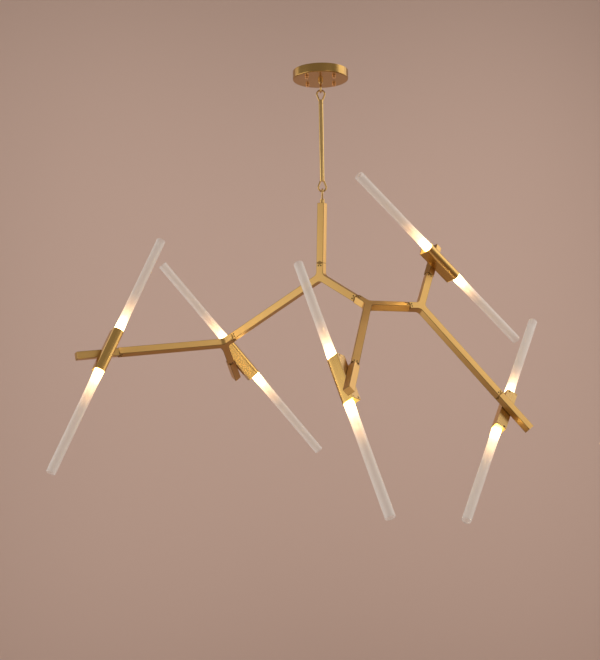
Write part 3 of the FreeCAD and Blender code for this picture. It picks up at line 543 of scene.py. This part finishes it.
def arm_outline(angle, length, start):
    """One arm of an outline in the local XZ plane: out along one side, round the end, back along the
    other. A row holds the outline's point, its outward normal, its point on the arm's middle line,
    the distance along the arm and the side, which is 0 on the end's own edges."""
    spin = math.radians(angle)
    along = np.array((math.sin(spin), math.cos(spin)))
    across = np.array((along[1], -along[0]))
    half = ARM_WIDTH / 2
    inner = half - ARM_EDGE
    reach = length - ARM_EDGE
    rows = [(t, half, 0.0, 1.0) for t in np.linspace(start, reach, 10)]
    for a in np.linspace(0.0, math.pi / 2, EDGE_POINTS)[1:]:
        rows.append((reach + ARM_EDGE * math.sin(a), inner + ARM_EDGE * math.cos(a),
                     math.sin(a), math.cos(a)))
    back = [(t, -s, n_along, -n_across) for t, s, n_along, n_across in rows[::-1]]
    rows += [(length, s * inner, 1.0, 0.0) for s in (0.5, 0.0, -0.5)]
    table = np.array(rows + back)
    points = table[:, :1] * along + table[:, 1:2] * across
    normals = table[:, 2:3] * along + table[:, 3:4] * across
    spine = np.clip(table[:, :1], start, reach - half / 2)
    side = np.sign(table[:, 1:2] + 1e-9) * (table[:, :1] <= reach + WELD)
    return np.hstack((points, normals, spine * along, table[:, :1], side))


def crotch_outline(angle):
    """The rounded inner corner between one arm and the next, an arc about a point on the line that
    halves the corner. The middle line runs in along the first arm, to the hub, and out again."""
    spin = math.radians(angle)
    half = ARM_WIDTH / 2
    centre_far = (half + CROTCH_ROUND) / math.sin(HALF_CROTCH)
    tangent_at = (half + CROTCH_ROUND) / math.tan(HALF_CROTCH)
    halves = spin - HALF_CROTCH
    centre = centre_far * np.array((math.sin(halves), math.cos(halves)))
    parts = []
    for share, own, side in ((np.linspace(0.0, 0.5, CROTCH_POINTS), spin, -1.0),
                             (np.linspace(0.5, 1.0, CROTCH_POINTS), halves - HALF_CROTCH, 1.0)):
        along = np.array((math.sin(own), math.cos(own)))
        swing = spin + math.pi / 2 + share * HALF_CROTCH
        away = np.stack((np.sin(swing), np.cos(swing)), axis=1)
        spine = tangent_at * np.abs(1 - 2 * share)[:, None]
        parts.append(np.hstack((centre + CROTCH_ROUND * away, -away, spine * along, spine,
                                np.full((len(share), 1), side))))
    return np.vstack(parts)


def fork_outline():
    """Three arms with the rounded crotches between them, in one closed run."""
    tangent_at = (ARM_WIDTH / 2 + CROTCH_ROUND) / math.tan(HALF_CROTCH)
    runs = []
    for arm, angle in ARM_ANGLE.items():
        runs += [arm_outline(angle, ARM_LONG[arm], tangent_at), crotch_outline(angle)]
    return np.vstack((*runs, runs[0][:1]))


def bar_outline(length):
    """A straight bar from z = 0, closed at both ends. Only its foot is marked as a seam's end, where
    the tube finish paints shade into the groove.
    """
    up, down = arm_outline(0, length / 2, 0.0), arm_outline(180, length / 2, 0.0)
    up[up[:, SIDE] == 0, SIDE] = 1.0
    for half in (up, down):
        half[:, (POINT_UP, SPINE_UP)] += length / 2
    up[:, RUN] += length / 2
    down[:, RUN] = length / 2 - down[:, RUN]
    down[:, SIDE] *= -1
    return np.vstack((up, down, up[:1]))


def slab(outline, place):
    """A square tube's skin: the outline repeated through the depth. Towards each face it is drawn in
    along its normal by e while the depth is y, where (e, y) follows a quarter circle round the edge.
    The first and last rows are the middle lines of the two faces."""
    half = ARM_WIDTH / 2
    bend = np.linspace(math.pi / 2, 0.0, EDGE_POINTS)
    inset = ARM_EDGE * (1 - np.cos(bend))
    depth = half - ARM_EDGE + ARM_EDGE * np.sin(bend)
    inset = np.concatenate((inset, inset[::-1]))[:, None, None]
    depth = np.concatenate(((half,), depth, -depth[::-1], (-half,)))
    spine = outline[None, :, SPINE]
    rings = np.concatenate((spine, outline[:, POINT] - inset * outline[:, NORMAL], spine))
    depth = np.broadcast_to(depth[:, None], rings.shape[:2])
    grid = np.stack((rings[..., 0], depth, rings[..., 1]), axis=-1)
    edge = np.linspace(0.0, ARM_EDGE, EDGE_POINTS)
    over = np.concatenate(((0.0,), half + edge, half + ARM_WIDTH + edge, (2 * half + ARM_WIDTH,)))
    side = outline[None, :, SIDE]
    run = np.empty((*grid.shape[:2], 2))
    run[..., 0] = outline[None, :, RUN]
    # The end's edges take a corner's place across, so the tube finish paints shade into a seam's
    # groove.
    run[..., 1] = np.where(side == 0, half + ARM_EDGE / 2, over[:, None] * side) + BRUSH_SHIFT
    return carried(grid, place), run


def holder_patch(place):
    """A lamp's housing: a D-shaped bar with a bore in each end. Columns follow the D, from its round
    front over the flat sides to the flat back, and each bore's circle shares their directions from
    the glass axis. Rows run from the upper bore's foot up its wall, over the rim, down the outside
    and into the lower bore."""
    half, back, lip = HOLDER_WIDE / 2, BACK_PLATE + BACK_CLEAR, HOLDER_LIP
    corners = ((GLASS_AXIS, half), (back, half), (back, -half), (GLASS_AXIS, -half))
    start, *bends, end = rounded(corners, HOLDER_CORNER)
    first, second = bends[:len(bends) // 2], bends[len(bends) // 2:]
    front = np.linspace(-math.pi / 2, math.pi / 2, 33)
    arc = np.stack((GLASS_AXIS + half * np.cos(front), half * np.sin(front)), axis=1)
    d_line = np.vstack((arc, np.linspace(start, first[0], 6)[1:-1], first,
                        np.linspace(first[-1], second[0], 10)[1:-1], second,
                        np.linspace(second[-1], end, 6)[1:]))
    out = d_line - (GLASS_AXIS, 0.0)
    reach = np.linalg.norm(out, axis=1)
    ways = out / reach[:, None]
    long, bore = HOLDER_LONG / 2, GLASS_WIDTH / 2 + GLASS_FIT
    seat = long - GLASS_SEAT
    # A row is a bore's radius or else the inset from the D's line, and a height.
    bend = np.linspace(0.0, math.pi / 2, 4)
    rows = [(0.0, None, seat), (bore, None, seat), (bore, None, long - lip)]
    rows += [(bore + lip * (1 - math.cos(a)), None, long - lip + lip * math.sin(a))
             for a in bend[1:]]
    rows += [(None, lip * (1 - math.sin(a)), long - lip + lip * math.cos(a)) for a in bend]
    rows += [(None, 0.0, z) for z in np.linspace(long - lip, 0.0, 8)[1:]]
    rows += [(radius, inset, -z) for radius, inset, z in rows[-2::-1]]
    grid = np.empty((len(rows), len(d_line), 3))
    for row, (radius, inset, z) in enumerate(rows):
        far = reach - inset if radius is None else np.full_like(reach, radius)
        grid[row, :, :2] = far[:, None] * ways + (GLASS_AXIS, 0.0)
        grid[row, :, 2] = z
    run = np.empty((*grid.shape[:2], 2))
    run[..., 0] = grid[..., 2]
    run[..., 1] = run_along(d_line)
    return carried(grid, place), run


def glass_patch(place):
    """A glass tube open at its far end: up the outside, over a fire-rounded rim and down the inside.
    The brushing run is the distance out of the holder."""
    outside, inside = GLASS_WIDTH / 2, GLASS_WIDTH / 2 - GLASS_WALL
    foot, tip = HOLDER_LONG / 2 - GLASS_SEAT, HOLDER_LONG / 2 + GLASS_SHOWING
    wall_foot, wall_top = foot + 0.02, tip - 0.004
    base = rounded(((inside, foot + 0.01), (inside, foot), (outside, foot), (outside, wall_foot)),
                   GLASS_FOOT_ROUND)
    rim = rounded(((outside, wall_top), (outside, tip), (inside, tip), (inside, wall_top)),
                  GLASS_RIM_ROUND, 5)
    wall = np.linspace(wall_foot, wall_top, 40)[1:]
    outer = np.stack((np.full_like(wall, outside), wall), axis=1)
    inner = np.stack((np.full_like(wall, inside), wall[::-1]), axis=1)
    profile = np.vstack((base, outer, rim[1:-1], inner, base[:1]))
    grid, run = turned(profile, place @ shift(x=GLASS_AXIS), 48)
    run[..., 0] -= HOLDER_LONG / 2
    return grid, run


def bulb_patch(place):
    """A capsule bulb: a flat base, a straight glass wall and a dome, a quarter circle turned."""
    foot = HOLDER_LONG / 2 - GLASS_SEAT + SOCKET_DEPTH
    base, wall = BULB_BASE_WIDTH / 2, BULB_WIDTH / 2
    shoulder = foot + BULB_BASE_DEPTH
    middle = foot + BULB_LONG - wall
    dome = np.linspace(0.0, math.pi / 2, 13)[1:]
    profile = [(0.0, foot), (base, foot), (base, shoulder), (wall, shoulder), (wall, middle)]
    profile += [(wall * math.cos(a), middle + wall * math.sin(a)) for a in dome]
    return turned(profile, place @ shift(x=GLASS_AXIS), 32)


def grub_patch(place):
    """A grub screw's outer end, at the foot of its hole's raised rim. The rim and the gap inside it
    take the screw's dark steel: painted shade where the hole's gap lies in shadow. Rows run from the
    rim in over the screw's bevel and flat to the hexagon and down its sides. A hexagon's reach at
    angle a is the flat's distance over cos of a's distance from the nearest flat."""
    around = circle(24)
    from_flat = np.mod(around + math.pi / 6, math.pi / 3) - math.pi / 6
    hexagon = GRUB_SOCKET / 2 / np.cos(from_flat)
    edge = GRUB_WIDTH / 2
    # The first four rings are the hole's rim and gap: in the screw's dark steel they are painted
    # shade.
    rings = ((edge + GRUB_RIM, -GRUB_GAP), (edge + GRUB_RIM - GRUB_GAP / 2, GRUB_RIM_RISE),
             (edge, FACE_CLEAR), (edge - GRUB_GAP, FACE_CLEAR),
             (edge - 0.75 * GRUB_BEVEL, 0.9 * GRUB_RISE), (edge - GRUB_BEVEL, GRUB_RISE))
    reach = np.array([ring[0] for ring in rings])[:, None] * np.ones_like(around)
    reach = np.vstack((reach, hexagon, hexagon * 0.96, np.zeros_like(hexagon)))
    height = np.array([ring[1] for ring in rings] + [GRUB_RISE, FACE_CLEAR, FACE_CLEAR])
    grid = np.empty((len(height), len(around), 3))
    grid[..., 0] = reach * np.cos(around)
    grid[..., 1] = reach * np.sin(around)
    grid[..., 2] = height[:, None]
    run = np.empty((*grid.shape[:2], 2))
    run[..., 0] = (np.arange(len(height)) / len(height))[:, None]
    run[..., 1] = around * edge
    return carried(grid, place), run


def canopy_patch():
    """The spun cup: out under the bottom, up the side, in over the lip at the ceiling, and back
    along the inside."""
    outside = CANOPY_WIDTH / 2
    inside = outside - CANOPY_WALL
    lip = outside - CANOPY_LIP
    floor = CANOPY_WALL - CANOPY_DEPTH
    profile = rounded(((0.0, -CANOPY_DEPTH), (outside, -CANOPY_DEPTH, CANOPY_ROUND),
                       (outside, 0.0, CANOPY_LIP_ROUND), (lip, 0.0, CANOPY_LIP_ROUND),
                       (lip, -CANOPY_WALL), (inside, -CANOPY_WALL),
                       (inside, floor, CANOPY_ROUND - CANOPY_WALL), (0.0, floor)), 0.0, 8)
    return turned(profile, shift(), 160)


def rod_patch():
    """The down rod: a round bar with eased ends."""
    foot, head = (corner[2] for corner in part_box("down_rod"))
    edge = ROD_WIDTH / 2
    return turned(rounded(((0.0, foot), (edge, foot), (edge, head), (0.0, head)), ROD_END_ROUND),
                  shift(), 40)


def cap_patch(place):
    """A stepped cap nut under the canopy: a rounded cap below a thin flange."""
    cap, flange, step = CAP_WIDTH / 2, CAP_FLANGE_WIDTH / 2, -CAP_FLANGE_DEPTH
    profile = rounded(((0.0, -CAP_DEPTH), (cap, -CAP_DEPTH, CAP_DOME_ROUND), (cap, step, 0.0003),
                       (flange, step, 0.0005), (flange, 0.0, 0.0002), (0.0, 0.0)), 0.0, 5)
    return turned(profile, place, 32)


# ---- finishes --------------------------------------------------------------------------------

BLACK = (0.0, 0.0, 0.0, 1.0)
# Painted shade along a square tube's corners and in its seam grooves: its width, its tone and how
# strongly it darkens.
EDGE_SHADE_WIDTH = 0.0013
EDGE_SHADE_TONE = (0.16, 0.085, 0.022, 1.0)
EDGE_SHADE_SHARE = 0.75
# Painted glow at a holder's two ends: how far it reaches in and its colour.
RIM_GLOW = 0.0022
RIM_LIGHT = (0.95, 0.55, 0.10, 1.0)
ALONG_Z = (900.0, 900.0, 14.0)
ALONG_RUN = (14.0, 900.0, 1.0)
STREAK_SHARE = 0.45
BAND_SHARE = 0.30
CLOUD_SHARE = 0.25
BAND_COARSE = 0.16
CLOUD_SCALE = 22.0
HAZE_SCALE = 18.0
FROST_SCALE = 400.0
GRAIN_SCALE = 1200.0
PATCH_SCALE = 75.0
STREAK_DEPTH = 0.00003
GRAIN_DEPTH = 0.00006
STREAK_RELIEF = 0.15
GRAIN_RELIEF = 0.1
GLASS_TINT = (0.92, 0.89, 0.86, 1.0)
GLASS_EDGE = 0.42
# Colour stops: a share of the glass tube's showing length, or of the bulb's length, and a colour.
GLOW_STOPS = ((0.0, (15.0, 11.8, 5.0)), (0.05, (8.6, 6.6, 3.0)), (0.10, (2.1, 1.6, 0.85)),
              (0.15, (0.88, 0.62, 0.32)), (0.21, (0.52, 0.31, 0.15)), (0.28, (0.26, 0.14, 0.07)),
              (0.38, (0.10, 0.068, 0.046)), (1.0, (0.082, 0.066, 0.055)))
BODY_STOPS = ((0.0, (1.0, 1.0, 1.0)), (0.15, (0.80, 0.80, 0.80)), (0.27, (0.46, 0.46, 0.46)),
              (0.40, (0.32, 0.32, 0.32)), (1.0, (0.28, 0.28, 0.28)))
BULB_STOPS = ((0.0, (0.05, 0.03, 0.01)), (0.14, (0.08, 0.05, 0.02)), (0.22, (0.9, 0.62, 0.3)),
              (0.55, (1.0, 0.86, 0.6)), (1.0, (0.9, 0.7, 0.42)))


def brushed(name, light, dark, rough, source="UV", place=None, stretch=ALONG_RUN, edges=False,
            rims=False):
    """Brushed brass: hair-fine streaks along the grain, broad soft bands beside them and slow clouds
    where the lacquer is thicker. A place turns the pattern to a piece's own axes. Edges paints shade
    into a square tube's colour: a dark line along its corners and in the grooves at its seams, where
    shade falls. Rims paints a glow into a holder's two ends: the brass emits light where the lamp
    shines out beside the glass."""
    paint = Paint(name, Metallic=1.0, Emission_Strength=float(rims))
    where = paint.place(source)
    if place is not None:
        back = Matrix(place[:3, :3].T.tolist()).to_euler()
        where = paint.node("ShaderNodeMapping", None, where, Rotation=back)
    streaks = paint.node("ShaderNodeMapping", None, where, Scale=stretch)
    streaks = paint.noise(streaks, detail=4.0, roughness=0.6)
    coarse = tuple(BAND_COARSE * s for s in stretch)
    bands = paint.noise(paint.node("ShaderNodeMapping", None, where, Scale=coarse))
    clouds = paint.noise(paint.place("Object"), CLOUD_SCALE)
    share = streaks * STREAK_SHARE + bands * BAND_SHARE + clouds * CLOUD_SHARE
    tone = paint.blend(share.clamped(), (*dark, 1.0), (*light, 1.0))
    # Painted shade: a dark line along the tube's corners and in its seam grooves, where shade falls.
    if edges:
        across = (paint.part(where, "Y") - BRUSH_SHIFT).size()
        corner = ((across - ARM_WIDTH - ARM_EDGE / 2).size() - ARM_WIDTH / 2).size()
        shade = (1.0 - corner * (1 / EDGE_SHADE_WIDTH)).clamped() * EDGE_SHADE_SHARE
        tone = paint.blend(shade, tone, EDGE_SHADE_TONE)
    # Painted light: the brass emits a glow at the holder's ends, where the lamp shines out beside the
    # glass.
    if rims:
        past = paint.part(where, "X").size() - (HOLDER_LONG / 2 - RIM_GLOW)
        shine = (past * (1 / RIM_GLOW)).clamped()
        paint.feed(Emission_Color=paint.blend(shine, BLACK, RIM_LIGHT))
    paint.feed(Base_Color=tone, Roughness=rough - 0.08 + streaks * 0.10 + clouds * 0.06)
    paint.relief(streaks, STREAK_DEPTH, STREAK_RELIEF)
    return paint.material


def frosted_glass(name):
    """Etched glass, lit from the lamp's end. The brushing run is the distance out of the holder: the
    glow is white beside the bulb, then yellow, then peach, and dies away along the tube. The glass
    hides more where it is seen along its wall."""
    paint = Paint(name, IOR=1.45, Specular_IOR_Level=0.5, Emission_Strength=1.0)
    haze = paint.noise(paint.place("Object"), HAZE_SCALE, detail=1.0)
    share = paint.part(paint.place(), "X") * (1 / GLASS_SHOWING) + (haze - 0.5) * 0.006
    share = share.clamped()
    facing = paint.node("ShaderNodeLayerWeight", None, 0.35, out="Facing")
    body = paint.ramp(BODY_STOPS, share)
    paint.feed(Base_Color=GLASS_TINT, Emission_Color=paint.ramp(GLOW_STOPS, share),
               Alpha=(body + facing * GLASS_EDGE + (haze - 0.5) * 0.01).clamped(),
               Roughness=0.36 + haze * 0.12)
    return paint.material


def glowing_bulb(name):
    """The bulb's white glass: brightest at the middle of its length, with a dull base."""
    paint = Paint(name, Emission_Strength=6.0)
    foot = HOLDER_LONG / 2 - GLASS_SEAT + SOCKET_DEPTH
    share = ((paint.part(paint.place(), "X") - foot) * (1 / BULB_LONG)).clamped()
    frost = paint.noise(paint.place("Object"), FROST_SCALE)
    paint.feed(Base_Color=paint.blend(frost, (0.80, 0.78, 0.72, 1.0), (0.92, 0.90, 0.85, 1.0)),
               Emission_Color=paint.ramp(BULB_STOPS, share), Roughness=0.25 + frost * 0.1)
    return paint.material


def machined(name, light, dark, rough, metal=1.0):
    """A small turned or pressed fitting: fine grain and slow patches of tone."""
    paint = Paint(name, Metallic=metal)
    fine = paint.noise(paint.place("Object"), GRAIN_SCALE, detail=3.0)
    slow = paint.noise(paint.place("Object"), PATCH_SCALE)
    share = ((fine * 0.4 + slow * 0.6 - 0.3) * 2.2).clamped()
    paint.feed(Base_Color=paint.blend(share, (*dark, 1.0), (*light, 1.0)),
               Roughness=rough - 0.05 + fine * 0.1)
    paint.relief(fine, GRAIN_DEPTH, GRAIN_RELIEF)
    return paint.material


# The tube finish paints shade along its corners and seam grooves.
TUBE_BRASS = brushed("tube_brass", (0.80, 0.515, 0.195), (0.62, 0.355, 0.10), 0.34, edges=True)
# The holder finish paints a glow at its two ends.
HOLDER_BRASS = brushed("holder_brass", (0.80, 0.52, 0.18), (0.62, 0.36, 0.095), 0.25, rims=True)
ROD_BRASS = brushed("rod_brass", (0.88, 0.62, 0.27), (0.70, 0.45, 0.16), 0.20, source="Object",
                    stretch=ALONG_Z)
CANOPY_BRASS = brushed("canopy_brass", (0.62, 0.385, 0.13), (0.42, 0.24, 0.065), 0.24)
EYE_BRASS = machined("eye_brass", (0.86, 0.58, 0.24), (0.62, 0.38, 0.13), 0.16)
CAP_BRASS = machined("cap_brass", (0.92, 0.58, 0.30), (0.72, 0.40, 0.18), 0.18)
SCREW_STEEL_AND_GAP_SHADE = machined("screw_steel_and_gap_shade", (0.035, 0.026, 0.018), (0.015, 0.011, 0.008), 0.42)
BRONZE_SCREW = machined("bronze_screw", (0.30, 0.19, 0.09), (0.16, 0.09, 0.04), 0.36)
ZINC_STEEL = machined("zinc_steel", (0.62, 0.63, 0.62), (0.44, 0.46, 0.48), 0.36)
CERAMIC = machined("ceramic", (0.82, 0.79, 0.70), (0.70, 0.66, 0.56), 0.35, metal=0.0)
WHITE_PLASTIC = machined("white_plastic", (0.80, 0.80, 0.77), (0.68, 0.68, 0.65), 0.45, metal=0.0)
GLASS = frosted_glass("frosted_glass")
BULB = glowing_bulb("bulb_glass")


# ---- pieces ----------------------------------------------------------------------------------

FORKS = ("fork_top", "fork_right", "fork_far", "fork_left")
for fork in FORKS:
    skin(fork + "_skin", [slab(fork_outline(), PLACES[fork])], "branch", [fork],
         TUBE_BRASS)
skin("drop_tube_skin", [slab(bar_outline(DROP_LONG), PLACES["drop_tube"])], "branch",
     ["drop_tube"], TUBE_BRASS)

GRUB_SPOTS = [turn("X", 90) @ shift(x=x) for x in (-GRUB_APART / 2, GRUB_APART / 2)]
grubs = []
for fork in FORKS:
    for arm, angle in ARM_ANGLE.items():
        seam = PLACES[fork] @ arm_end(angle, ARM_LONG[arm] - GRUB_FROM_END)
        grubs += [grub_patch(seam @ shift(y=-ARM_WIDTH / 2) @ spot) for spot in GRUB_SPOTS]
# The screw ends carry painted shade in the rim and gap round each hole.
skin("grub_screw_ends", grubs, "branch", ["seam_grub_screws"], SCREW_STEEL_AND_GAP_SHADE)

for tag in TAGS:
    body = "lamp_" + tag
    place = PLACES[body]
    lower = place @ turn("X", 180)
    skin(f"finger_{tag}_skin", [slab(bar_outline(FINGER_LONG), PLACES["finger_" + tag])], "branch",
         ["finger_" + tag], TUBE_BRASS)
    skin(body + "_housing", [holder_patch(place)], body, [body + "_holder"],
         HOLDER_BRASS)
    skin(body + "_glass", [glass_patch(place), glass_patch(lower)], body, [body + "_glass_tubes"],
         GLASS)
    skin(body + "_capsules", [bulb_patch(place), bulb_patch(lower)], body, [body + "_bulbs"],
         BULB)

skin("canopy_spinning", [canopy_patch()], "canopy", ["canopy_cup"], CANOPY_BRASS)
skin("down_rod_skin", [rod_patch()], "rod", ["down_rod"], ROD_BRASS)

caps = []
for k in range(CAP_COUNT):
    spot = math.radians(CAP_FIRST_ANGLE + 360 / CAP_COUNT * k)
    caps.append(cap_patch(shift(CAP_FROM_CENTRE * math.cos(spot), CAP_FROM_CENTRE * math.sin(spot),
                                -CANOPY_DEPTH)))
skin("cap_nuts", caps, "canopy", ["canopy_cap_nuts"], CAP_BRASS)


def paint_node(name, finish):
    """Give a piece of the frame one finish."""
    node = frame["nodes"][name]
    node.data.materials.clear()
    node.data.materials.append(finish)


for name in ("suspension_ring", "rod_upper_eye", "rod_lower_eye", "drop_eye"):
    paint_node(name, EYE_BRASS)
for name in ("mount_plate", "canopy_studs", "ring_locknut", "earth_screw", "terminal_screws",
             "seam_spigots"):
    paint_node(name, ZINC_STEEL)
paint_node("terminal_block", WHITE_PLASTIC)
for tag in TAGS:
    plate_brass = brushed(f"plate_{tag}_brass", (0.72, 0.48, 0.20), (0.54, 0.33, 0.12), 0.28,
                          source="Object", place=PLACES["lamp_" + tag], stretch=ALONG_Z)
    paint_node(f"lamp_{tag}_back_plate", plate_brass)
    paint_node(f"lamp_{tag}_plate_screws", BRONZE_SCREW)
    paint_node(f"lamp_{tag}_swivel", EYE_BRASS)
    paint_node(f"lamp_{tag}_lampholders", CERAMIC)
